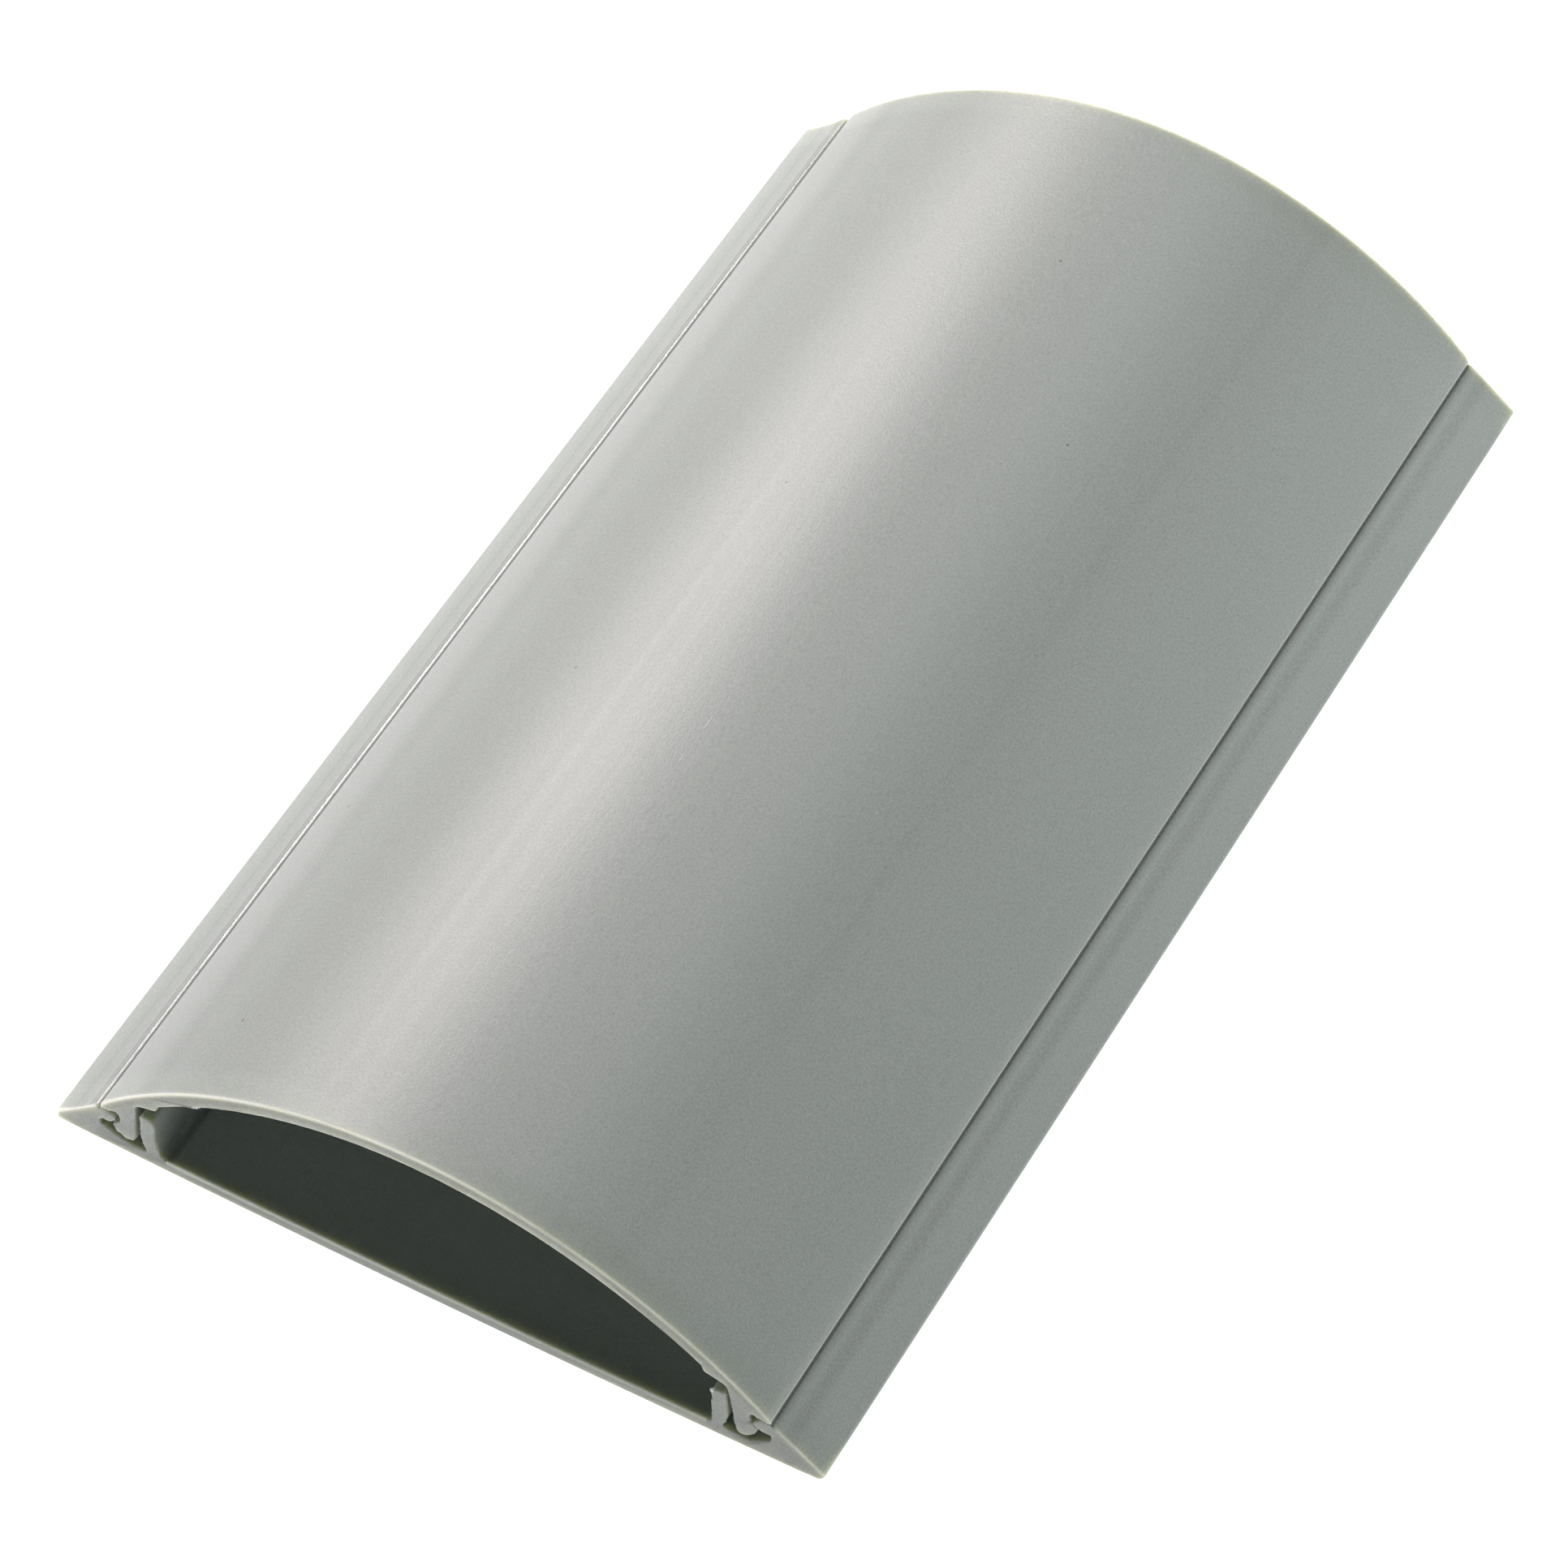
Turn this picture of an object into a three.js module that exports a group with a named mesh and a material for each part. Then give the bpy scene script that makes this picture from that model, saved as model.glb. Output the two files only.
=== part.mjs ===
// A floor cord cover: a cut length of two rigid plastic extrusions. The base channel lies on the floor with a
// solid ramp along each side, and the domed lid clips under the lips of the ramps and can slide along them.
// Millimetres, +Z up. The length runs along Y and the section is the same on both sides of X = 0.
import * as THREE from "three";

// Overall size, over the tips of the ramps and from the floor to the crown
const length = 173;
const width = 100;
const height = 28;

// The running clearance wherever the lid lies against the base
const fitGap = 0.25;

// Base channel: a thin floor that rests on a middle strip and bows up a little towards both tips
const floorThickness = 1.9;
const restHalfWidth = 30;
const floorBow = 0.8;

// Base channel: the ramp's blunt tip, its slope up to the ridge, and the narrow shoulder inside the ridge
const tipHeight = 2.15;
const tipRound = 0.7;
const rampWidth = 5.7;
const ridgeHeight = 7;
const shoulderWidth = 0.75;
const shoulderRise = 0.25;

// Base channel: the lip that reaches inwards over the pocket
const lipReach = 1.95;
const lipThickness = 2;
const pocketDepth = 2.15;
const pocketEndHeight = 3.95;
const pocketSlopeWidth = 3.2;

// Base channel: the upright rib that keeps cables away from the lid's leg
const ribThickness = 1.8;
const ribTopHeight = 9.55;
const ribLean = 0.25;
const ribFootRound = 0.8;

// Domed lid: its wall, the tighter arc of its crown and the blunt edge beside the seam
const lidWall = 2.1;
const crownRadius = 54;
const crownHalfWidth = 14.1;
const edgeHeight = 1.15;
const edgeSetback = 0.6;

// Domed lid: the leg under each edge, with its barb hooked under the lip
const legGap = 0.75;
const legThickness = 2.65;
const legTaper = 0.95;
const legFootClearance = 1;
const legFootWidth = 1.3;
const barbBite = 0.4;
const barbDrop = 0.85;
const edgePocketRise = 0.55;

// Domed lid: the thicker shoulder above the rib, where the leg joins the shell
const ribHeadroom = 1.8;
const padRise = 0.85;
const padOverhang = 0.9;
const padStep = 0.3;

// Small roundings that the extrusion die leaves on corners
const fineRound = 0.2;
const softRound = 0.5;
const legRootRound = 1.3;
const legFootRound = 0.7;
const pocketRound = 0.8;
const arcStep = Math.PI / 18;
const domeStep = Math.PI / 150;

// Places that both extrusions share, worked out from the outside inwards
const tipX = width / 2;
const ridgeX = tipX - rampWidth;
const seamX = ridgeX - shoulderWidth;
const lipTop = ridgeHeight + shoulderRise;
const lipBottom = lipTop - lipThickness;
const lipNoseX = seamX - lipReach;
const legOuterX = lipNoseX - legGap;
const legRootX = legOuterX - legThickness;
const legFootX = legRootX + legTaper;
const ribOuterX = legRootX - fitGap;
const ribInnerX = ribOuterX - ribThickness;
const pocketEndX = lipNoseX + pocketDepth;
const padCeiling = ribTopHeight + ribHeadroom;

// How far the bowed floor stands off the ground at a distance x from the middle plane
function bowAt(x) {
  const outward = Math.max(0, x - restHalfWidth);
  const reach = tipX - restHalfWidth;
  const radius = (reach * reach + floorBow * floorBow) / (2 * floorBow);
  return radius - Math.sqrt(radius * radius - outward * outward);
}

// Points of one face of the floor from one x to another, a given height above its underside
function floorPoints(fromX, toX, above) {
  const steps = Math.max(1, Math.ceil(Math.abs(toX - fromX) / 3));
  const points = [];
  for (let i = 0; i <= steps; i += 1) {
    const x = fromX + ((toX - fromX) * i) / steps;
    points.push([x, above + bowAt(x)]);
  }
  return points;
}

// The lid's edge ends on the dome here, and the flank's arc is the one that leaves the crown without a kink
// and passes through this point
const edgeTop = [seamX - edgeSetback, lipTop + fitGap + edgeHeight];
const crownAngle = Math.asin(crownHalfWidth / crownRadius);
const flankRadius = flankRadiusThrough(edgeTop);

function flankRadiusThrough([x, z]) {
  const across = x - crownHalfWidth;
  const down = height - crownRadius + crownRadius * Math.cos(crownAngle) - z;
  const drop = down * Math.cos(crownAngle) - across * Math.sin(crownAngle);
  return (across * across + down * down) / (2 * drop);
}

// A point of the dome, a given depth below its outer face, at an angle from the crown
function domePoint(angle, depth) {
  const onCrown = angle < crownAngle;
  const radius = (onCrown ? crownRadius : flankRadius) - depth;
  const shift = onCrown ? 0 : flankRadius - crownRadius;
  return [
    radius * Math.sin(angle) - shift * Math.sin(crownAngle),
    height - crownRadius + radius * Math.cos(angle) - shift * Math.cos(crownAngle),
  ];
}

// The angle from the crown at which the flank, a given depth below its outer face, reaches x
function flankAngleAt(x, depth) {
  const shift = (flankRadius - crownRadius) * Math.sin(crownAngle);
  return Math.asin((x + shift) / (flankRadius - depth));
}

// The dome's points from the crown out to x
function domePoints(x, depth) {
  const end = flankAngleAt(x, depth);
  const steps = Math.ceil(end / domeStep);
  const points = [];
  for (let i = 0; i <= steps; i += 1) points.push(domePoint((end * i) / steps, depth));
  return points;
}

// The points of an arc that rounds the corner at `at` between its neighbours, cut short by a short side
function cornerArc(before, at, after, radius) {
  const back = before.clone().sub(at);
  const onward = after.clone().sub(at);
  const shorter = Math.min(back.length(), onward.length());
  back.normalize();
  onward.normalize();
  const half = Math.acos(THREE.MathUtils.clamp(back.dot(onward), -1, 1)) / 2;
  const reach = Math.min(radius / Math.tan(half), shorter / 2);
  const fitted = reach * Math.tan(half);
  const toCentre = back.clone().add(onward).setLength(fitted / Math.sin(half));
  const centre = at.clone().add(toCentre);
  const from = at.clone().addScaledVector(back, reach).sub(centre);
  const to = at.clone().addScaledVector(onward, reach).sub(centre);
  const sweep = Math.atan2(from.cross(to), from.dot(to));
  const steps = Math.max(1, Math.ceil(Math.abs(sweep) / arcStep));
  const points = [];
  for (let i = 0; i <= steps; i += 1) {
    points.push(from.clone().rotateAround(new THREE.Vector2(), (sweep * i) / steps).add(centre));
  }
  return points;
}

// Turns [x, z, radius] corners into points, with an arc in place of each corner that has a radius
function roundCorners(corners) {
  const spots = corners.map(([x, z]) => new THREE.Vector2(x, z));
  const points = [];
  corners.forEach(([, , radius], i) => {
    const inside = i > 0 && i < corners.length - 1;
    const found = radius && inside ? cornerArc(spots[i - 1], spots[i], spots[i + 1], radius) : [spots[i]];
    for (const point of found) {
      const last = points[points.length - 1];
      if (!last || last.distanceTo(point) > 0.01) points.push(point);
    }
  });
  return points;
}

// Extrudes a half section and its mirror image along Y, centred on the origin
function extrusion(half) {
  const mirrored = half.filter((point) => point.x > 0).map((point) => new THREE.Vector2(-point.x, point.y));
  const section = new THREE.Shape([...half, ...mirrored.reverse()]);
  const geometry = new THREE.ExtrudeGeometry(section, { depth: length, bevelEnabled: false });
  return geometry.rotateX(Math.PI / 2).translate(0, length / 2, 0);
}

// Half the base's section: underside, ramp, lip, pocket, rib and the top of the floor
function baseHalfSection() {
  const pocketFloorX = pocketEndX - pocketSlopeWidth;
  const ribFootOuterX = ribOuterX - ribLean;
  const ribFootInnerX = ribFootOuterX - ribThickness;
  const [, pocketFloor] = floorPoints(pocketFloorX, pocketFloorX, floorThickness)[0];
  const [, ribFoot] = floorPoints(ribFootInnerX, ribFootInnerX, floorThickness)[0];
  return roundCorners([
    ...floorPoints(restHalfWidth, tipX - tipRound, 0),
    [tipX, floorBow, softRound],
    [tipX, tipHeight, tipRound],
    [ridgeX, ridgeHeight, fineRound],
    [seamX, lipTop, fineRound],
    [lipNoseX, lipTop, lipThickness / 2],
    [lipNoseX, lipBottom, lipThickness / 2],
    [pocketEndX, lipBottom, pocketRound],
    [pocketEndX, pocketEndHeight, fineRound],
    [pocketFloorX, pocketFloor, legRootRound],
    [ribFootOuterX, pocketFloor, fineRound],
    [ribOuterX, ribTopHeight, softRound],
    [ribInnerX, ribTopHeight, fineRound],
    [ribFootInnerX, ribFoot, ribFootRound],
    ...floorPoints(ribFootInnerX - 2 * ribFootRound, restHalfWidth, floorThickness),
  ]);
}

// Half the lid's section: dome, blunt edge, barbed leg, thicker shoulder and the dome's underside
function lidHalfSection() {
  const edgeUnderside = lipTop + fitGap;
  const pocketTop = edgeUnderside + edgePocketRise;
  const noseCentreX = lipNoseX + lipThickness / 2;
  const noseCentreZ = lipTop - lipThickness / 2;
  const barbTipX = lipNoseX + barbBite;
  const barbLine = noseCentreX + noseCentreZ - Math.SQRT2 * (lipThickness / 2 + fitGap);
  const barbTipZ = barbLine - barbTipX;
  const barbRootZ = barbLine - legOuterX;
  const [, pocketFloor] = floorPoints(legFootX, legFootX, floorThickness)[0];
  const legFoot = pocketFloor + legFootClearance;
  const padEdgeX = ribInnerX - padOverhang;
  const innerX = padEdgeX - padStep;
  return roundCorners([
    ...domePoints(edgeTop[0], 0),
    [seamX, edgeUnderside, fineRound],
    [noseCentreX, edgeUnderside, softRound],
    [legOuterX, pocketTop, softRound],
    [legOuterX, barbRootZ, softRound],
    [barbTipX, barbTipZ, fineRound],
    [barbTipX - barbBite, barbTipZ - barbDrop, softRound],
    [legFootX + legFootWidth, legFoot, legFootRound],
    [legFootX, legFoot, legFootRound],
    [legRootX, padCeiling, legRootRound],
    [padEdgeX, padCeiling + padRise, softRound],
    ...domePoints(innerX, lidWall).reverse(),
  ]);
}

// The same greenish grey rigid plastic in both pieces
function greyPlastic() {
  return new THREE.MeshStandardMaterial({ color: 0x9c9f9a, roughness: 0.5, metalness: 0 });
}

function piece(name, half) {
  const mesh = new THREE.Mesh(extrusion(half), greyPlastic());
  mesh.name = name;
  return mesh;
}

const group = new THREE.Group();
group.name = "floor_cord_cover";
group.add(piece("base_channel", baseHalfSection()));
group.add(piece("domed_lid", lidHalfSection()));

export default group;
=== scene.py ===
"""Looks of a floor cord cover: a cut length of two extrusions in grey rigid plastic.

The base channel and the domed lid are refined from copies of the CAD solids. The thin floor gets one even
bow, the two sides get their small differences, the saw-cut ends get broken, slightly ragged edges and a few
burrs, and both pieces get a procedural plastic. Blender's lengths are in metres.
"""

import math

import bmesh
import bpy
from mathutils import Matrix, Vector, noise


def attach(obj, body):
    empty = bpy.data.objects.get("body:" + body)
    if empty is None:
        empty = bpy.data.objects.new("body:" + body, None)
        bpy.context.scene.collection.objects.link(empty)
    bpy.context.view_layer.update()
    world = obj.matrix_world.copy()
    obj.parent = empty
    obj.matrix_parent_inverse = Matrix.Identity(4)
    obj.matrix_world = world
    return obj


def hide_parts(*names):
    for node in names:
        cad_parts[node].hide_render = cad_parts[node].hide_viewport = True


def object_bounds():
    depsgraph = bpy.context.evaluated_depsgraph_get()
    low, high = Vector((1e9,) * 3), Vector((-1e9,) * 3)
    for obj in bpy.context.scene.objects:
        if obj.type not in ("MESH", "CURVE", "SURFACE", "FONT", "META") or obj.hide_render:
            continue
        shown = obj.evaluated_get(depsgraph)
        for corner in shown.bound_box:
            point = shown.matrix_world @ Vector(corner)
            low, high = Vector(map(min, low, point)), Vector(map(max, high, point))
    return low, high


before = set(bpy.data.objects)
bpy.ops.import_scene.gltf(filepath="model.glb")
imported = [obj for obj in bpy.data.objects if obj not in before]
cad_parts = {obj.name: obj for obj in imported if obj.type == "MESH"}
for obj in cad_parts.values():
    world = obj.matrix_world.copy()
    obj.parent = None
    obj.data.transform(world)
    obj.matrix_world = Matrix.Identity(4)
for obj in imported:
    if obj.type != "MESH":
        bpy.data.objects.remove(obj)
cad_low, cad_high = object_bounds()

MM = 0.001
HALF_LENGTH = cad_high.y
TIP_X = cad_high.x

# Sides of the section, as seen from the front end
LEFT = -1
RIGHT = 1

# Limits for cleaning up the copied solids
MERGE_DISTANCE = 0.002 * MM
FLAT_ANGLE = math.radians(0.2)
SMOOTH_ANGLE = math.radians(42)

# The thin floor sags between the ramps: how far the tips stand off the ground, and the height up to which the
# floor follows that bow
BOW_RISE = 0.78 * MM
BOW_FULL_BELOW = 2.3 * MM
BOW_NONE_ABOVE = 4.2 * MM
CAD_REST_HALF_WIDTH = 30 * MM
CAD_BOW_RISE = 0.8 * MM
BOW_CUTS = 24

# Heights at which the ribs get an extra row of corners, so that they can bulge, in millimetres
RIB_ROWS = (4.0, 5.5, 8.2)

# The ridge between ramp and shoulder, in millimetres: where the CAD solid has it, how near a corner
# belongs to it, where the two sides really have it, and how far each side's rounding reaches
CAD_RIDGE = (44.3, 7.0)
RIDGE_REACH = 0.3
RIDGES = {LEFT: (44.16, 7.4), RIGHT: (44.3, 7.0)}
RIDGE_ROUNDS = {LEFT: 0.5 * MM, RIGHT: 0.45 * MM}
RIDGE_SEGMENTS = 10

# The narrow rounded edge that the saw left round each cut end, as insets and how far each steps out
SAWN_STEPS = ((0.05 * MM, 0.10 * MM), (0.09 * MM, 0.05 * MM))
SAWN_EDGE = sum(step for _, step in SAWN_STEPS)

# The ragged band behind that edge: how deep it is, the length of the outline's short edges, how fine the
# raggedness is per metre, and how far it goes at most
RAGGED_BAND = 0.45 * MM
OUTLINE_STEP = 0.18 * MM
RAGGED_GRAIN = 3000
RAGGED_SHARE = 0.2 * MM

# The noise starts from the same place in each run
NOISE_SEED = 4
noise.seed_set(NOISE_SEED)

# Where the saw tore more, in millimetres: most between the base's ribs and pocket ends and on the lid's legs,
# and a little on the floor's upper edge
RIB_SIDE_X = 35
POCKET_END_X = 44
FLOOR_EDGE_Z = 1.2
INNER_EDGES_Z = 2
LEG_SIDE_X = 37.5
LEG_TOP_Z = 11

# The flakes: how near a corner is that gets drawn out, how far it comes forward, the teeth per millimetre,
# and how soon a flake fades towards its ends
BURR_REACH = 0.45
BURR_FORWARD = 0.02
BURR_TEETH = 4.1
BURR_FADE = 3


def select_only(obj):
    bpy.ops.object.select_all(action="DESELECT")
    obj.select_set(True)
    bpy.context.view_layer.objects.active = obj


def open_for_editing(obj):
    select_only(obj)
    bpy.ops.object.mode_set(mode="EDIT")
    bpy.ops.mesh.select_mode(type="VERT")


def close_editing():
    bpy.ops.object.mode_set(mode="OBJECT")


def select_corners(obj, wanted):
    """Selects the vertices of the mesh in edit mode whose place satisfies wanted."""
    bpy.ops.mesh.select_mode(type="VERT")
    bpy.ops.mesh.select_all(action="DESELECT")
    mesh = bmesh.from_edit_mesh(obj.data)
    for corner in mesh.verts:
        corner.select_set(wanted(corner.co))
    mesh.select_flush_mode()
    bmesh.update_edit_mesh(obj.data)


def select_edges(obj, wanted):
    """Selects the edges of the mesh in edit mode that satisfy wanted."""
    bpy.ops.mesh.select_mode(type="EDGE")
    bpy.ops.mesh.select_all(action="DESELECT")
    mesh = bmesh.from_edit_mesh(obj.data)
    for edge in mesh.edges:
        edge.select_set(wanted(edge))
    mesh.select_flush_mode()
    bmesh.update_edit_mesh(obj.data)


def refined_copy(node, name):
    """A merged copy of a CAD node in which each flat run of triangles is one face."""
    piece = bpy.data.objects.new(name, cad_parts[node].data.copy())
    bpy.context.scene.collection.objects.link(piece)
    select_only(piece)
    bpy.ops.mesh.customdata_custom_splitnormals_clear()
    open_for_editing(piece)
    bpy.ops.mesh.select_all(action="SELECT")
    bpy.ops.mesh.remove_doubles(threshold=MERGE_DISTANCE)
    bpy.ops.mesh.dissolve_limited(angle_limit=FLAT_ANGLE)
    close_editing()
    return piece


def cut_across(obj, place, normal):
    """Cuts the whole mesh with a plane, leaving both sides joined along the new edges."""
    open_for_editing(obj)
    bpy.ops.mesh.select_all(action="SELECT")
    bpy.ops.mesh.bisect(plane_co=place, plane_no=normal)
    close_editing()


def smooth_share(value):
    value = min(1.0, max(0.0, value))
    return value * value * (3 - 2 * value)


def nudge(obj, side, at, reach, shift):
    """Moves the section round a place, most at the place and not beyond the reach.

    Millimetres; x counts outwards from the middle plane and z upwards, along the whole length.
    """
    for corner in obj.data.vertices:
        out = side * corner.co.x
        away = math.hypot(out - at[0] * MM, corner.co.z - at[1] * MM)
        if out > 0 and away < reach * MM:
            share = smooth_share(1 - away / (reach * MM))
            corner.co.x += side * share * shift[0] * MM
            corner.co.z += share * shift[1] * MM


def at_cut_end(point):
    return abs(point.y) > HALF_LENGTH - MERGE_DISTANCE


def select_cut_ends(obj):
    bpy.ops.mesh.select_mode(type="FACE")
    bpy.ops.mesh.select_all(action="DESELECT")
    mesh = bmesh.from_edit_mesh(obj.data)
    for face in mesh.faces:
        face.select_set(all(at_cut_end(corner.co) for corner in face.verts))
    bmesh.update_edit_mesh(obj.data)


def part_the_outline(obj):
    """Joins each cut end into one face and splits its outline into short edges."""
    open_for_editing(obj)
    select_cut_ends(obj)
    bpy.ops.mesh.dissolve_faces()
    mesh = bmesh.from_edit_mesh(obj.data)
    outline = [edge for edge in mesh.edges if all(at_cut_end(corner.co) for corner in edge.verts)]
    for edge in outline:
        corner = edge.verts[0]
        for parts in range(round(edge.calc_length() / OUTLINE_STEP), 1, -1):
            _, corner = bmesh.utils.edge_split(edge, corner, 1 / parts)
    bmesh.update_edit_mesh(obj.data)
    close_editing()


def break_sawn_edges(obj):
    """Rounds the outline of both cut ends a little, by pushing them in and stepping out again."""
    open_for_editing(obj)
    select_cut_ends(obj)
    bpy.ops.mesh.quads_convert_to_tris(ngon_method="BEAUTY")
    mesh = bmesh.from_edit_mesh(obj.data)
    for corner in mesh.verts:
        if at_cut_end(corner.co):
            corner.co.y -= math.copysign(SAWN_EDGE, corner.co.y)
    bmesh.update_edit_mesh(obj.data)
    for inward, outward in SAWN_STEPS:
        bpy.ops.mesh.inset(thickness=inward, depth=outward, use_even_offset=False)
    close_editing()


def end_nearness(point):
    """1 at a cut end and 0 from the ragged band's far side inwards."""
    return smooth_share((abs(point.y) - HALF_LENGTH + RAGGED_BAND) / (RAGGED_BAND - 2 * SAWN_EDGE))


def roughen_ends(obj, raggedness):
    """Lets the edges of the cut ends wander by a share that depends on their place in the section."""
    for corner in obj.data.vertices:
        share = end_nearness(corner.co)
        if share > 0:
            place = Vector((corner.co.x, math.copysign(HALF_LENGTH, corner.co.y), corner.co.z))
            wander = noise.noise_vector(place * RAGGED_GRAIN) * RAGGED_SHARE * share
            wander *= raggedness(abs(corner.co.x) / MM, corner.co.z / MM)
            corner.co.x += wander.x
            corner.co.z += wander.z


def burr(obj, at, length, hang, seed):
    """Draws the cut edge near a place of the front end out into a thin jagged flake, in millimetres."""
    for corner in obj.data.vertices:
        across = corner.co.x / MM - at[0]
        share = end_nearness(corner.co) if corner.co.y < 0 else 0
        if share > 0 and abs(across) < length / 2 and abs(corner.co.z / MM - at[1]) < BURR_REACH:
            teeth = max(0.0, 0.5 + noise.noise(Vector((across * BURR_TEETH, seed, 0))))
            fade = smooth_share(BURR_FADE * (1 - 2 * abs(across) / length))
            corner.co += Vector((hang[0], -BURR_FORWARD, hang[1])) * MM * teeth * fade * share


def keep_inside_frame(obj):
    """Holds every corner inside the box of the CAD model."""
    for corner in obj.data.vertices:
        for axis in range(3):
            corner.co[axis] = min(cad_high[axis], max(cad_low[axis], corner.co[axis]))


def shade(obj):
    """Smooth shading that keeps the corners, with large faces staying flat."""
    select_only(obj)
    bpy.ops.object.shade_smooth_by_angle(angle=SMOOTH_ANGLE)
    weighted = obj.modifiers.new("flat_faces", "WEIGHTED_NORMAL")
    weighted.keep_sharp = True
    bpy.ops.object.modifier_apply(modifier=weighted.name)


def cad_bow(x):
    outward = max(0.0, abs(x) - CAD_REST_HALF_WIDTH)
    reach = TIP_X - CAD_REST_HALF_WIDTH
    radius = (reach * reach + CAD_BOW_RISE * CAD_BOW_RISE) / (2 * CAD_BOW_RISE)
    return radius - math.sqrt(radius * radius - outward * outward)


def bow_the_floor(base):
    """Gives the thin floor one even bow, where the CAD solid has a flat middle strip."""
    for i in range(1, BOW_CUTS):
        x = CAD_REST_HALF_WIDTH * (2 * i / BOW_CUTS - 1)
        cut_across(base, (x, 0, 0), (1, 0, 0))
    for corner in base.data.vertices:
        x, _, z = corner.co
        share = (BOW_NONE_ABOVE - z) / (BOW_NONE_ABOVE - BOW_FULL_BELOW)
        share = min(1.0, max(0.0, share))
        corner.co.z += share * (BOW_RISE * (x / TIP_X) ** 2 - cad_bow(x))


def near_spot(point, side, spot, reach):
    return math.hypot(side * point.x / MM - spot[0], point.z / MM - spot[1]) < reach


def place_ridge(base, side):
    """Draws the few corners of a ridge together into one and puts it where that side has it."""
    open_for_editing(base)
    select_corners(base, lambda point: near_spot(point, side, CAD_RIDGE, RIDGE_REACH))
    bpy.ops.mesh.remove_doubles(threshold=RIDGE_REACH * MM)
    close_editing()
    for corner in base.data.vertices:
        if near_spot(corner.co, side, CAD_RIDGE, RIDGE_REACH):
            corner.co.x = side * RIDGES[side][0] * MM
            corner.co.z = RIDGES[side][1] * MM


def round_ridge(base, side):
    """Rounds the long edge that runs along a ridge."""
    open_for_editing(base)
    select_edges(base, lambda edge: edge.calc_length() > HALF_LENGTH
                 and all(near_spot(corner.co, side, RIDGES[side], RIDGE_REACH) for corner in edge.verts))
    reach = RIDGE_ROUNDS[side]
    bpy.ops.mesh.bevel(offset=reach, segments=RIDGE_SEGMENTS, affect="EDGES", clamp_overlap=False)
    close_editing()


def shape_left_of_base(base):
    # The ramp starts higher, and the shoulder falls off to a shallow groove beside the lid
    nudge(base, LEFT, at=(49.8, 2.2), reach=1.2, shift=(0, 0.28))
    nudge(base, LEFT, at=(43.55, 7.25), reach=0.6, shift=(-0.08, -0.05))
    # The pocket ends further out
    nudge(base, LEFT, at=(43.75, 4.3), reach=1.3, shift=(0.22, 0))
    # The rib bulges outwards at half its height, and its top slopes down to a rounded inner corner
    nudge(base, LEFT, at=(37.0, 5.2), reach=3.6, shift=(0.42, 0))
    nudge(base, LEFT, at=(36.2, 9.5), reach=0.9, shift=(0.1, -0.35))


def shape_right_of_base(base):
    # The shoulder runs on up to the lid's edge, so that the ridge hardly shows and the gap is narrow
    nudge(base, RIGHT, at=(43.55, 7.25), reach=0.7, shift=(0, 0.07))
    nudge(base, RIGHT, at=(42.4, 7.25), reach=0.9, shift=(0, 0.2))
    # The lip reaches further in, with its nose cut back, over a shorter, deeper pocket
    nudge(base, RIGHT, at=(41.6, 6.3), reach=1.2, shift=(-0.4, 0))
    nudge(base, RIGHT, at=(43.7, 4.3), reach=1.3, shift=(-0.42, 0))
    nudge(base, RIGHT, at=(41.4, 2.6), reach=2.2, shift=(0, -0.45))
    nudge(base, RIGHT, at=(39.0, 2.3), reach=2.2, shift=(0, -0.35))
    nudge(base, RIGHT, at=(41.2, 6.9), reach=0.7, shift=(0.3, -0.1))
    # The rib narrows towards its foot, and its inner top corner is lower
    nudge(base, RIGHT, at=(37.8, 2.2), reach=1.6, shift=(-0.5, 0))
    nudge(base, RIGHT, at=(38.0, 6.0), reach=2.2, shift=(0.25, 0))
    nudge(base, RIGHT, at=(36.1, 9.6), reach=0.9, shift=(0, -0.5))
    # The tip's lower corner is worn round
    nudge(base, RIGHT, at=(50.0, 0.8), reach=1.1, shift=(-0.35, 0.25))


def base_raggedness(x, z):
    """How rough the saw left each stretch of the base's edges: most on the ribs and in the pockets."""
    if RIB_SIDE_X < x < POCKET_END_X and z > INNER_EDGES_Z:
        return 1.0
    if x < RIB_SIDE_X and z > FLOOR_EDGE_Z:
        return 0.25
    return 0.08


def lid_raggedness(x, z):
    """How rough the saw left each stretch of the lid's edges: most on the legs."""
    return 1.0 if x > LEG_SIDE_X and z < LEG_TOP_Z else 0.2


def base_channel():
    base = refined_copy("base_channel", "base_channel_sawn")
    bow_the_floor(base)
    for height in RIB_ROWS:
        cut_across(base, (0, 0, height * MM), (0, 0, 1))
    shape_left_of_base(base)
    shape_right_of_base(base)
    for side in (LEFT, RIGHT):
        place_ridge(base, side)
        round_ridge(base, side)
    finish_cut_ends(base, base_raggedness)
    burr(base, at=(36.15, 8.95), length=0.7, hang=(-0.35, 0.2), seed=2.0)
    keep_inside_frame(base)
    shade(base)
    return base


def shape_left_of_lid(lid):
    # The leg ends higher, in a rounder foot
    nudge(lid, LEFT, at=(39.8, 3.1), reach=1.9, shift=(0.12, 0.4))


def shape_right_of_lid(lid):
    # The leg stands a little further in than the left one, with a deeper notch over the lip's nose
    nudge(lid, RIGHT, at=(39.7, 3.0), reach=1.9, shift=(-0.25, -0.2))
    nudge(lid, RIGHT, at=(41.9, 4.9), reach=1.4, shift=(-0.28, 0))
    nudge(lid, RIGHT, at=(40.9, 6.2), reach=0.9, shift=(-0.12, 0))
    nudge(lid, RIGHT, at=(40.85, 8.1), reach=0.9, shift=(-0.2, -0.1))


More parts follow.
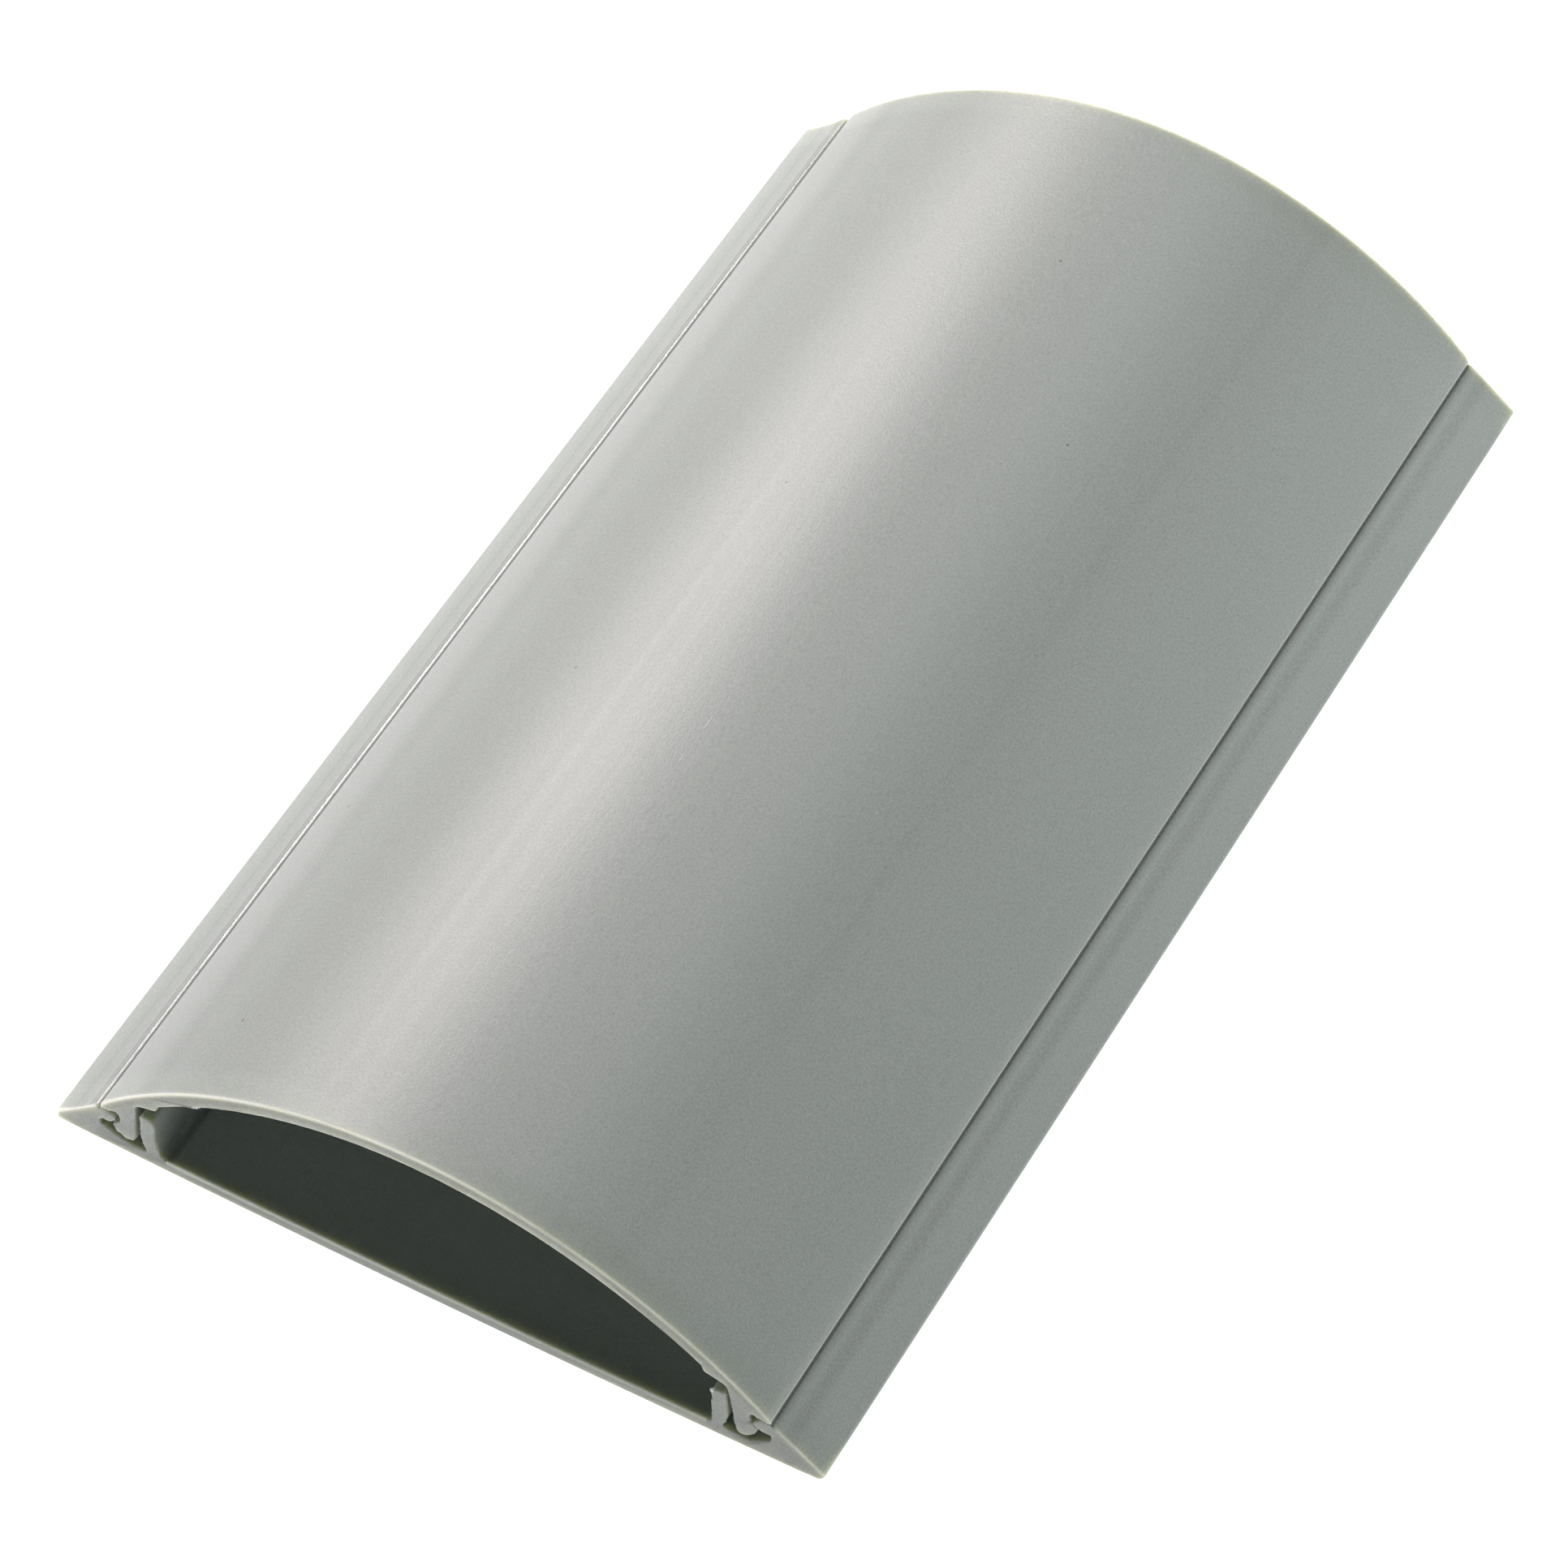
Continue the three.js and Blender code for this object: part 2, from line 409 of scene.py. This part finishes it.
def finish_cut_ends(piece, raggedness):
    """Ragged, slightly broken edges round both cut ends, kept to a narrow band."""
    for side in (LEFT, RIGHT):
        cut_across(piece, (0, side * (HALF_LENGTH - RAGGED_BAND), 0), (0, 1, 0))
    part_the_outline(piece)
    break_sawn_edges(piece)
    roughen_ends(piece, raggedness)


def domed_lid():
    lid = refined_copy("domed_lid", "domed_lid_sawn")
    shape_left_of_lid(lid)
    shape_right_of_lid(lid)
    finish_cut_ends(lid, lid_raggedness)
    burr(lid, at=(-28.9, 17.1), length=2.6, hang=(0.0, -0.5), seed=0.0)
    burr(lid, at=(-25.7, 18.4), length=1.6, hang=(0.0, -0.4), seed=5.0)
    keep_inside_frame(lid)
    shade(lid)
    return lid


# How soft a stripe's edges are, and how much of a fleck is fully marked, as shares of their size
STRIPE_SOFTNESS = 0.12
FLECK_CORE = 0.4


class Finish:
    """A material whose nodes are added one by one; inputs are numbers, colours or other nodes' outputs."""

    def __init__(self, name):
        self.material = bpy.data.materials.new(name)
        self.material.use_nodes = True
        self.tree = self.material.node_tree
        self.surface = self.tree.nodes["Principled BSDF"]

    def add(self, kind, inputs=(), **settings):
        node = self.tree.nodes.new(kind)
        for key, value in settings.items():
            setattr(node, key, value)
        for key, value in dict(inputs).items():
            self.set(node.inputs[key], value)
        return node

    def set(self, socket, value):
        if isinstance(value, bpy.types.NodeSocket):
            self.tree.links.new(value, socket)
        else:
            socket.default_value = value

    def math(self, operation, *values):
        return self.add("ShaderNodeMath", dict(enumerate(values)), operation=operation).outputs[0]

    def rest_of(self, share):
        """What is left of one."""
        return self.math("SUBTRACT", 1.0, share)

    def between(self, value, low, high):
        """0 up to low and 1 from high, with a smooth step between."""
        inputs = {"Value": value, "From Min": low, "From Max": high}
        return self.add("ShaderNodeMapRange", inputs, interpolation_type="SMOOTHSTEP").outputs[0]

    def around(self, value, centre, half_width):
        """1 at the centre, fading to 0 half a width away on both sides."""
        away = self.math("ABSOLUTE", self.math("SUBTRACT", value, centre))
        return self.rest_of(self.between(away, 0.0, half_width))

    def stripe(self, value, centre, half_width):
        """1 within half a width of the centre and 0 beyond it, with a narrow soft edge."""
        away = self.math("ABSOLUTE", self.math("SUBTRACT", value, centre))
        soft = half_width * STRIPE_SOFTNESS
        return self.rest_of(self.between(away, half_width - soft, half_width + soft))

    def plus(self, value, pattern, share=1.0):
        """The value with a pattern times a share added."""
        return self.math("MULTIPLY_ADD", pattern, share, value)

    def fading(self, value, reach):
        """1 at zero, falling off exponentially over the reach."""
        return self.math("EXPONENT", self.math("DIVIDE", value, -reach))

    def mixed(self, share, first, second):
        inputs = {"Factor": share, "A": first, "B": second}
        return self.add("ShaderNodeMix", inputs, data_type="FLOAT").outputs["Result"]

    def tinted(self, colour, tint, share):
        """A colour with a share of a tint added."""
        change = self.add("ShaderNodeVectorMath", {0: tint, "Scale": share}, operation="SCALE").outputs[0]
        return self.add("ShaderNodeVectorMath", {0: colour, 1: change}, operation="ADD").outputs[0]

    def swing(self, value, share):
        """A pattern from 0 to 1 as a swing of the given share about zero."""
        return self.math("MULTIPLY", self.math("SUBTRACT", value, 0.5), share)

    def stretched(self, scale):
        """Object coordinates times a scale for each axis."""
        place = self.add("ShaderNodeTexCoord").outputs["Object"]
        return self.add("ShaderNodeMapping", {"Vector": place, "Scale": scale}).outputs[0]

    def noise(self, scale, detail=2.0, roughness=0.5):
        inputs = {"Vector": self.stretched(scale), "Scale": 1.0, "Detail": detail, "Roughness": roughness}
        return self.add("ShaderNodeTexNoise", inputs).outputs["Fac"]

    def flecks(self, scale, size, share):
        """Scattered small marks: 1 on a share of the cells of a stretched pattern, near the cell's middle."""
        cells = self.add("ShaderNodeTexVoronoi", {"Vector": self.stretched(scale), "Scale": 1.0})
        spot = self.rest_of(self.between(cells.outputs["Distance"], size * FLECK_CORE, size))
        pick = self.add("ShaderNodeSeparateColor", {"Color": cells.outputs["Color"]}).outputs[0]
        return self.math("MULTIPLY", spot, self.math("LESS_THAN", pick, share))


# The plastic's colour in linear light, what a sawn face adds to it and by what share it is darker, and how
# squarely a face has to point along the length to count as sawn
GREY = (0.330, 0.362, 0.338)
SAWN_TINT = (0.012, 0.0, 0.004)
CUT_DARKER = 0.07
CUT_FACING = (0.55, 0.85)

# The off-white that the sawn edges add, whitened plastic with painted light on it that is stronger on the
# left,
# where the light falls: how far it reaches, how much faster it falls off on the skin and slower on the cut,
# and where across the part, from left to right, it gets weaker and by how much
EDGE_WHITE_AND_LIGHT_TINT = (0.49, 0.50, 0.455)
CREAM_REACH = 0.17 * MM
CREAM_STEEPER_ON_SKIN = 1.4
CREAM_FLATTER_ON_CUT = 0.85
CREAM_EASES = (-5 * MM, 20 * MM)
CREAM_LESS = 0.48

# White flakes: the core of each spot, and how softly it starts at its depth, in millimetres
FLAKE_CORE = 0.6
FLAKE_SOFTNESS = 0.1

# Gloss of the skin and of the sawn faces
SKIN_ROUGHNESS = 0.42
CUT_ROUGHNESS = 0.6

# How light spreads under the surface near the ends, and the painted light, left and right, that makes the
# skin there lighter to make up for it and for the dimmer highlight near the front end
GLOW_RADIUS = (1.0, 0.95, 0.55)
GLOW_SCALE = 3.0 * MM
GLOW_FROM_END = (2.5 * MM, 5.0 * MM)
END_PAINTED_LIGHT = (0.12, 0.06)

# Patterns per metre: fine grain, cloudy blotches, die lines along the length, and the saw's marks
GRAIN = (4200, 3000, 4200)
BLOTCHES = (60, 22, 60)
DIE_LINES = (1100, 4, 1100)
SAW_MARKS = (700, 700, 5200)

# Scattered marks: pattern per metre, size in its cells, and the share of cells that have one
DARK_FLECKS = ((230, 190, 230), 0.055, 0.16)
LIGHT_FLECKS = ((210, 90, 210), 0.045, 0.2)
SCRATCHES = ((420, 45, 420), 0.05, 0.12)

# How much each pattern changes the tone and the roughness, and how high each is beside the grain
TONE = {"grain": 0.6, "blotches": 0.07, "die_lines": 0.07, "saw_marks": 0.12,
        "dark_flecks": -0.5, "light_flecks": 0.25, "scratches": 0.12}
GLOSS = {"die_lines": 0.1, "blotches": 0.08, "scratches": -0.08}
HEIGHT = {"die_lines": 0.5, "scratches": -0.6, "saw_marks": 1.6}
HEIGHT_SCALE = 0.025 * MM

# The dome's two arcs, as centre and radius of each, and where they meet; x counts outwards
CROWN_ARC = ((0, 0, -26 * MM), 54 * MM)
FLANK_ARC = ((-1.81 * MM, 0, -32.68 * MM), 60.92 * MM)
ARCS_MEET = 14.1 * MM

# The ramp's face as a point and its outward direction; x counts outwards
RAMP_POINT = (49.6 * MM, 0, 2.6 * MM)
RAMP_FACING = (0.666, 0, 0.746)

# A plane just outside the lid's blunt edge beside the seam, in the same way
EDGE_POINT = (43.26 * MM, 0, 8.81 * MM)
EDGE_FACING = (0.887, 0, 0.463)

# The top of the floor on the middle plane, and where the ribs end it
FLOOR_TOP = 1.9 * MM
RIB_INNER_X = 35.2 * MM


def outward_place(finish, place):
    """The place in the section with x counted outwards from the middle plane."""
    out = finish.math("ABSOLUTE", place.outputs["X"])
    return finish.add("ShaderNodeCombineXYZ", {"X": out, "Z": place.outputs["Z"]}).outputs[0]


def depth_under_arc(finish, point, arc):
    centre, radius = arc
    away = finish.add("ShaderNodeVectorMath", {0: point, 1: centre}, operation="DISTANCE").outputs["Value"]
    return finish.math("SUBTRACT", radius, away)


def depth_under_plane(finish, point, at, facing):
    inward = finish.add("ShaderNodeVectorMath", {0: at, 1: point}, operation="SUBTRACT").outputs[0]
    inputs = {0: inward, 1: facing}
    return finish.add("ShaderNodeVectorMath", inputs, operation="DOT_PRODUCT").outputs["Value"]


def depth_under_dome(finish, place):
    """How deep a point lies under the dome's outer face or its blunt edge."""
    point = outward_place(finish, place)
    crown = depth_under_arc(finish, point, CROWN_ARC)
    flank = depth_under_arc(finish, point, FLANK_ARC)
    on_flank = finish.math("GREATER_THAN", finish.math("ABSOLUTE", place.outputs["X"]), ARCS_MEET)
    dome = finish.mixed(on_flank, crown, flank)
    return finish.math("MINIMUM", dome, depth_under_plane(finish, point, EDGE_POINT, EDGE_FACING))


def squared_share_out(finish, place):
    """0 on the middle plane and 1 at the tips, as the square of the share of the way out."""
    share_out = finish.math("DIVIDE", place.outputs["X"], TIP_X)
    return finish.math("MULTIPLY", share_out, share_out)


def depth_under_ramp_or_floor(finish, place):
    """How deep a point lies under the ramp's face or, between the ribs, under the top of the floor."""
    point = outward_place(finish, place)
    under_ramp = depth_under_plane(finish, point, RAMP_POINT, RAMP_FACING)
    floor_top = finish.plus(FLOOR_TOP, squared_share_out(finish, place), BOW_RISE)
    under_floor = finish.math("ABSOLUTE", finish.math("SUBTRACT", floor_top, place.outputs["Z"]))
    between_ribs = finish.math("LESS_THAN", finish.math("ABSOLUTE", place.outputs["X"]), RIB_INNER_X)
    return finish.mixed(between_ribs, under_ramp, under_floor)


def near_flakes(finish, place, depth, flakes):
    """1 where the saw tore white flakes loose and 0 elsewhere.

    Each flake is a place in the section, a reach and the depth at which it starts, in millimetres.
    """
    inputs = {"X": place.outputs["X"], "Z": place.outputs["Z"]}
    point = finish.add("ShaderNodeCombineXYZ", inputs).outputs[0]
    torn = 0.0
    for x, z, reach, least_depth in flakes:
        inputs = {0: point, 1: (x * MM, 0, z * MM)}
        away = finish.add("ShaderNodeVectorMath", inputs, operation="DISTANCE").outputs["Value"]
        near = finish.rest_of(finish.between(away, FLAKE_CORE * reach * MM, reach * MM))
        deep = finish.between(depth, (least_depth - FLAKE_SOFTNESS) * MM, least_depth * MM)
        torn = finish.math("MAXIMUM", torn, finish.math("MULTIPLY", near, deep))
    return torn


def white_and_lit_edges(finish, from_end, depth, eased):
    """1 on a sawn outer edge, falling off on the skin and on the cut, and weaker on the right."""
    # Whitened plastic with painted light on it: weaker on the right, away from the light
    on_skin = finish.math("MULTIPLY", from_end, CREAM_STEEPER_ON_SKIN)
    on_cut = finish.math("MULTIPLY", depth, CREAM_FLATTER_ON_CUT)
    from_edge = finish.math("SUBTRACT", finish.math("MAXIMUM", on_skin, on_cut), SAWN_EDGE)
    edge_white_and_light = finish.fading(finish.math("MAXIMUM", 0.0, from_edge), CREAM_REACH)
    return finish.math("MULTIPLY", edge_white_and_light, finish.rest_of(finish.math("MULTIPLY", eased, CREAM_LESS)))


def rigid_plastic(name, depth_under_face, look):
    """Extruded plastic with a fine grain and faint die lines, matter and scored where it was sawn.

    depth_under_face gives how deep a point lies under the piece's main outer face. The look's tint is what
    the sawn face has more of down to the tint's depth; on the base it is a painted glow of light coming
    through.
    Each painted light band is a place across and a half width in millimetres, and the share that it is darker
    by, as painted shade, or lighter by when below zero, as painted highlight; a gloss stripe gives instead
    the roughness that it loses.
    """
    finish = Finish(name)
    where = finish.add("ShaderNodeTexCoord")
    place = finish.add("ShaderNodeSeparateXYZ", {0: where.outputs["Object"]})
    facing = finish.add("ShaderNodeSeparateXYZ", {0: where.outputs["Normal"]})
    across = place.outputs["X"]
    cut = finish.between(finish.math("ABSOLUTE", facing.outputs["Y"]), *CUT_FACING)
    skin = finish.rest_of(cut)
    from_end = finish.math("SUBTRACT", HALF_LENGTH, finish.math("ABSOLUTE", place.outputs["Y"]))
    near_end = finish.rest_of(finish.between(from_end, *GLOW_FROM_END))
    depth = finish.math("MAXIMUM", 0.0, depth_under_face(finish, place))
    eased = finish.between(across, *CREAM_EASES)

    grain = finish.noise(GRAIN, detail=2.0, roughness=0.6)
    blotches = finish.noise(BLOTCHES, detail=2.0)
    die_lines = finish.noise(DIE_LINES, detail=3.0, roughness=0.6)
    saw_marks = finish.noise(SAW_MARKS, detail=2.0)
    dark_flecks = finish.flecks(*DARK_FLECKS)
    light_flecks = finish.flecks(*LIGHT_FLECKS)
    scratches = finish.flecks(*SCRATCHES)

    tone = finish.plus(1.0, finish.swing(grain, TONE["grain"]))
    # Painted light: the skin near the ends is lighter, more on the left
    tone = finish.plus(tone, near_end, finish.math("MULTIPLY", skin, finish.mixed(eased, *END_PAINTED_LIGHT)))
    tone = finish.plus(tone, cut, -CUT_DARKER)
    tone = finish.plus(tone, finish.swing(blotches, TONE["blotches"]))
    tone = finish.plus(tone, finish.swing(die_lines, TONE["die_lines"]), skin)
    tone = finish.plus(tone, finish.swing(saw_marks, TONE["saw_marks"]), cut)
    tone = finish.plus(tone, dark_flecks, TONE["dark_flecks"])
    tone = finish.plus(tone, light_flecks, TONE["light_flecks"])
    tone = finish.plus(tone, scratches, finish.math("MULTIPLY", skin, TONE["scratches"]))
    # Painted shade and painted highlights in stripes along the length on the skin, and painted shade across
    # the sawn faces
    for faces, painted_light_bands in ((skin, look["painted_light_bands"]), (cut, look["cut_painted_shade_bands"])):
        for centre, half_width, share in painted_light_bands:
            painted_band = finish.around(across, centre * MM, half_width * MM)
            tone = finish.plus(tone, finish.math("MULTIPLY", faces, painted_band), -share)
    colour = finish.add("ShaderNodeVectorMath", {0: GREY, "Scale": tone}, operation="SCALE").outputs[0]

    # On the base, the tint is a painted glow of light coming through the sawn face near its outer face; on
    # the lid it is an olive stripe.
    outer = finish.math("MULTIPLY", cut, finish.rest_of(finish.between(depth, *look["tint_depth"])))
    torn = near_flakes(finish, place, depth, look["flakes"])
    torn = finish.math("MULTIPLY", torn, finish.math("LESS_THAN", from_end, RAGGED_BAND))
    # The torn flakes and sawn edges are painted off-white, for whitened plastic that catches light, with
    # painted light making the edges stronger on the left
    edge_white_and_light = finish.math("MAXIMUM", torn, white_and_lit_edges(finish, from_end, depth, eased))
    colour = finish.tinted(colour, SAWN_TINT, cut)
    colour = finish.tinted(colour, look["tint"], outer)
    colour = finish.tinted(colour, EDGE_WHITE_AND_LIGHT_TINT, edge_white_and_light)
    finish.set(finish.surface.inputs["Base Color"], colour)

    gloss = finish.plus(SKIN_ROUGHNESS, finish.swing(die_lines, GLOSS["die_lines"]))
    gloss = finish.plus(gloss, finish.swing(blotches, GLOSS["blotches"]))
    gloss = finish.plus(gloss, scratches, GLOSS["scratches"])
    for centre, half_width, share in look["gloss_bands"]:
        gloss = finish.plus(gloss, finish.stripe(across, centre * MM, half_width * MM), -share)
    finish.set(finish.surface.inputs["Roughness"], finish.mixed(cut, gloss, CUT_ROUGHNESS))

    height = finish.plus(grain, die_lines, HEIGHT["die_lines"])
    height = finish.plus(height, scratches, HEIGHT["scratches"])
    height = finish.plus(height, finish.math("MULTIPLY", saw_marks, cut), HEIGHT["saw_marks"])
    bump = finish.add("ShaderNodeBump", {"Height": height, "Strength": 1.0, "Distance": HEIGHT_SCALE})
    finish.set(finish.surface.inputs["Normal"], bump.outputs[0])

    finish.set(finish.surface.inputs["Subsurface Weight"], near_end)
    finish.set(finish.surface.inputs["Subsurface Radius"], GLOW_RADIUS)
    finish.set(finish.surface.inputs["Subsurface Scale"], GLOW_SCALE)
    return finish.material


def put_on(piece, material, body, node):
    piece.data.materials.clear()
    piece.data.materials.append(material)
    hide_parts(node)
    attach(piece, body)


# What differs between the pieces. Near the outer face, the sawn face of the base has a painted glow of light
# coming through, and that of the lid has an olive stripe. The skin has painted shade, painted reflections and
# painted highlights in stripes along the length, the sawn faces get painted shade towards the right, and the
# die polished a stripe of the left ridge.
BASE_LOOK = {
    "tint": (0.050, 0.050, 0.034),
    "tint_depth": (0.0, 1.6 * MM),
    # Painted light and shade: a lighter left ramp, a dark reflection stripe and painted shade at the left
    # ridge and seam, painted shade at the left rib's foot and along the right seam, stripes of painted light
    # and shade on the right ramp, and a faint dark streak on the left ramp
    "painted_light_bands": ((-50.5, 4.5, -0.32), (-47.2, 0.35, 0.10), (-44.82, 0.42, 0.32), (-43.67, 0.22, 0.35),
              (-34.9, 0.9, 0.4), (48.5, 5.0, -0.06), (45.7, 1.2, 0.12), (44.6, 0.5, -0.06),
              (43.6, 0.5, 0.2), (43.56, 0.2, 0.6)),
    # Painted shade: the sawn face darker towards the right, and a little darker in the middle of the floor
    "cut_painted_shade_bands": ((46.0, 9.0, 0.14), (36.0, 8.0, 0.06), (0.0, 30.0, 0.05)),
    "gloss_bands": ((-44.1, 0.24, 0.24),),
    "flakes": ((36.1, 9.0, 0.4, 1.0),),
}
LID_LOOK = {
    "tint": (-0.036, -0.036, -0.055),
    "tint_depth": (0.7 * MM, 1.7 * MM),
    # Painted shade of a dark reflection on the left flank, a faint darker stripe on the right flank, and a
    # painted highlight on the right blunt edge above the seam
    "painted_light_bands": ((-36.5, 2.8, 0.09), (24.0, 1.4, 0.03), (43.42, 0.13, -0.45)),
    # Painted shade: the sawn face darker towards the right
    "cut_painted_shade_bands": ((24.0, 20.0, 0.03), (40.0, 9.0, 0.07)),
    "gloss_bands": (),
    "flakes": ((-28.9, 16.9, 1.3, 2.05), (-25.7, 18.2, 0.8, 2.05)),
}

base_plastic = rigid_plastic("base_grey_plastic", depth_under_ramp_or_floor, BASE_LOOK)
lid_plastic = rigid_plastic("lid_grey_plastic", depth_under_dome, LID_LOOK)
put_on(base_channel(), base_plastic, "base", "base_channel")
put_on(domed_lid(), lid_plastic, "lid", "domed_lid")


# Camera, as the photograph sees the front end from its upper right
CAMERA_PLACE = (0.22828, -0.37931, 0.57453)
CAMERA_TURN = (37.357, 1.472, 29.606)
CAMERA_LENS = 140.55
CAMERA_CLIPS_FROM = 0.01
SENSOR_WIDTH = 36

# Floor, which glows so that it stays white, but not under the base: how far in from the tips the glow ends,
# how far in from the cut ends, and how much further there at the tips, where the bow opens a gap
FLOOR_SIZE = 8
FLOOR_DROP = 0.02 * MM
FLOOR_WHITE = (0.86, 0.86, 0.86, 1)
FLOOR_ROUGHNESS = 0.9
FLOOR_GLOW = 0.96
DARK_INSET_X = 1.6 * MM
DARK_INSET_Y = 0.15 * MM
DARK_INSET_Y_GROWS = 0.5 * MM

# Colours of the soft lights, and how far they all are from the part
LIGHT_DISTANCE = 1.2
WARM = (1.0, 0.925, 0.955)
WARMER = (1.0, 0.925, 0.91)
COOL = (0.965, 1.0, 0.99)
WHITE = (1.0, 1.0, 1.0)

# Name, azimuth, elevation, width, power and colour of each soft light; azimuth 0 is in front of the cut end
# that the camera sees, and 90 is on the part's right
SOFT_LIGHTS = (
    ("key_high", 232, 45, 0.4, 5.55, WARM),
    ("key_left", 250, 32, 0.4, 3.6, WARM),
    ("key_core", 232, 32, 0.3, 5.3, WARMER),
    ("back_high", 180, 60, 0.5, 3.5, WHITE),
    ("right_back_low", 135, 6, 0.5, 3.0, COOL),
    ("right_back", 135, 32, 0.5, 2.9, COOL),
    ("front_low", 0, 6, 0.5, 2.9, WHITE),
)


def soft_light(name, azimuth, elevation, width, power, colour):
    """A square light that stands in a direction from the part and points back at it."""
    turn = math.radians(azimuth)
    rise = math.radians(elevation)
    direction = Vector((math.sin(turn) * math.cos(rise), -math.cos(turn) * math.cos(rise), math.sin(rise)))
    lamp = bpy.data.lights.new(name, "AREA")
    lamp.size = width
    lamp.energy = power
    lamp.color = colour
    holder = bpy.data.objects.new(name, lamp)
    holder.location = direction * LIGHT_DISTANCE
    holder.rotation_euler = direction.to_track_quat("Z", "Y").to_euler()
    holder.visible_camera = False
    bpy.context.scene.collection.objects.link(holder)


def glowing_white():
    """White that glows everywhere but under the base, where it would light the cut faces from below."""
    finish = Finish("glowing_white")
    place = finish.add("ShaderNodeSeparateXYZ", {0: finish.add("ShaderNodeTexCoord").outputs["Object"]})
    beside = finish.math("GREATER_THAN", finish.math("ABSOLUTE", place.outputs["X"]), TIP_X - DARK_INSET_X)
    edge = finish.plus(HALF_LENGTH - DARK_INSET_Y, squared_share_out(finish, place), -DARK_INSET_Y_GROWS)
    beyond = finish.math("GREATER_THAN", finish.math("ABSOLUTE", place.outputs["Y"]), edge)
    glow = finish.math("MULTIPLY", FLOOR_GLOW, finish.math("MAXIMUM", beside, beyond))
    finish.set(finish.surface.inputs["Base Color"], FLOOR_WHITE)
    finish.set(finish.surface.inputs["Roughness"], FLOOR_ROUGHNESS)
    finish.set(finish.surface.inputs["Emission Color"], (1, 1, 1, 1))
    finish.set(finish.surface.inputs["Emission Strength"], glow)
    return finish.material


def pale_floor():
    bpy.ops.object.select_all(action="DESELECT")
    bpy.ops.mesh.primitive_plane_add(size=FLOOR_SIZE, location=(0, 0, -FLOOR_DROP))
    floor = bpy.context.active_object
    floor.name = "floor"
    floor.data.materials.append(glowing_white())


def camera():
    lens = bpy.data.cameras.new("camera")
    lens.lens = CAMERA_LENS
    lens.sensor_width = SENSOR_WIDTH
    lens.clip_start = CAMERA_CLIPS_FROM
    holder = bpy.data.objects.new("camera", lens)
    holder.location = CAMERA_PLACE
    holder.rotation_euler = [math.radians(angle) for angle in CAMERA_TURN]
    bpy.context.scene.collection.objects.link(holder)
    bpy.context.scene.camera = holder


def dark_room():
    world = bpy.data.worlds.new("room")
    world.use_nodes = True
    world.node_tree.nodes["Background"].inputs["Strength"].default_value = 0.0
    bpy.context.scene.world = world


camera()
pale_floor()
for light in SOFT_LIGHTS:
    soft_light(*light)
dark_room()
bpy.context.scene.view_settings.view_transform = "Standard"
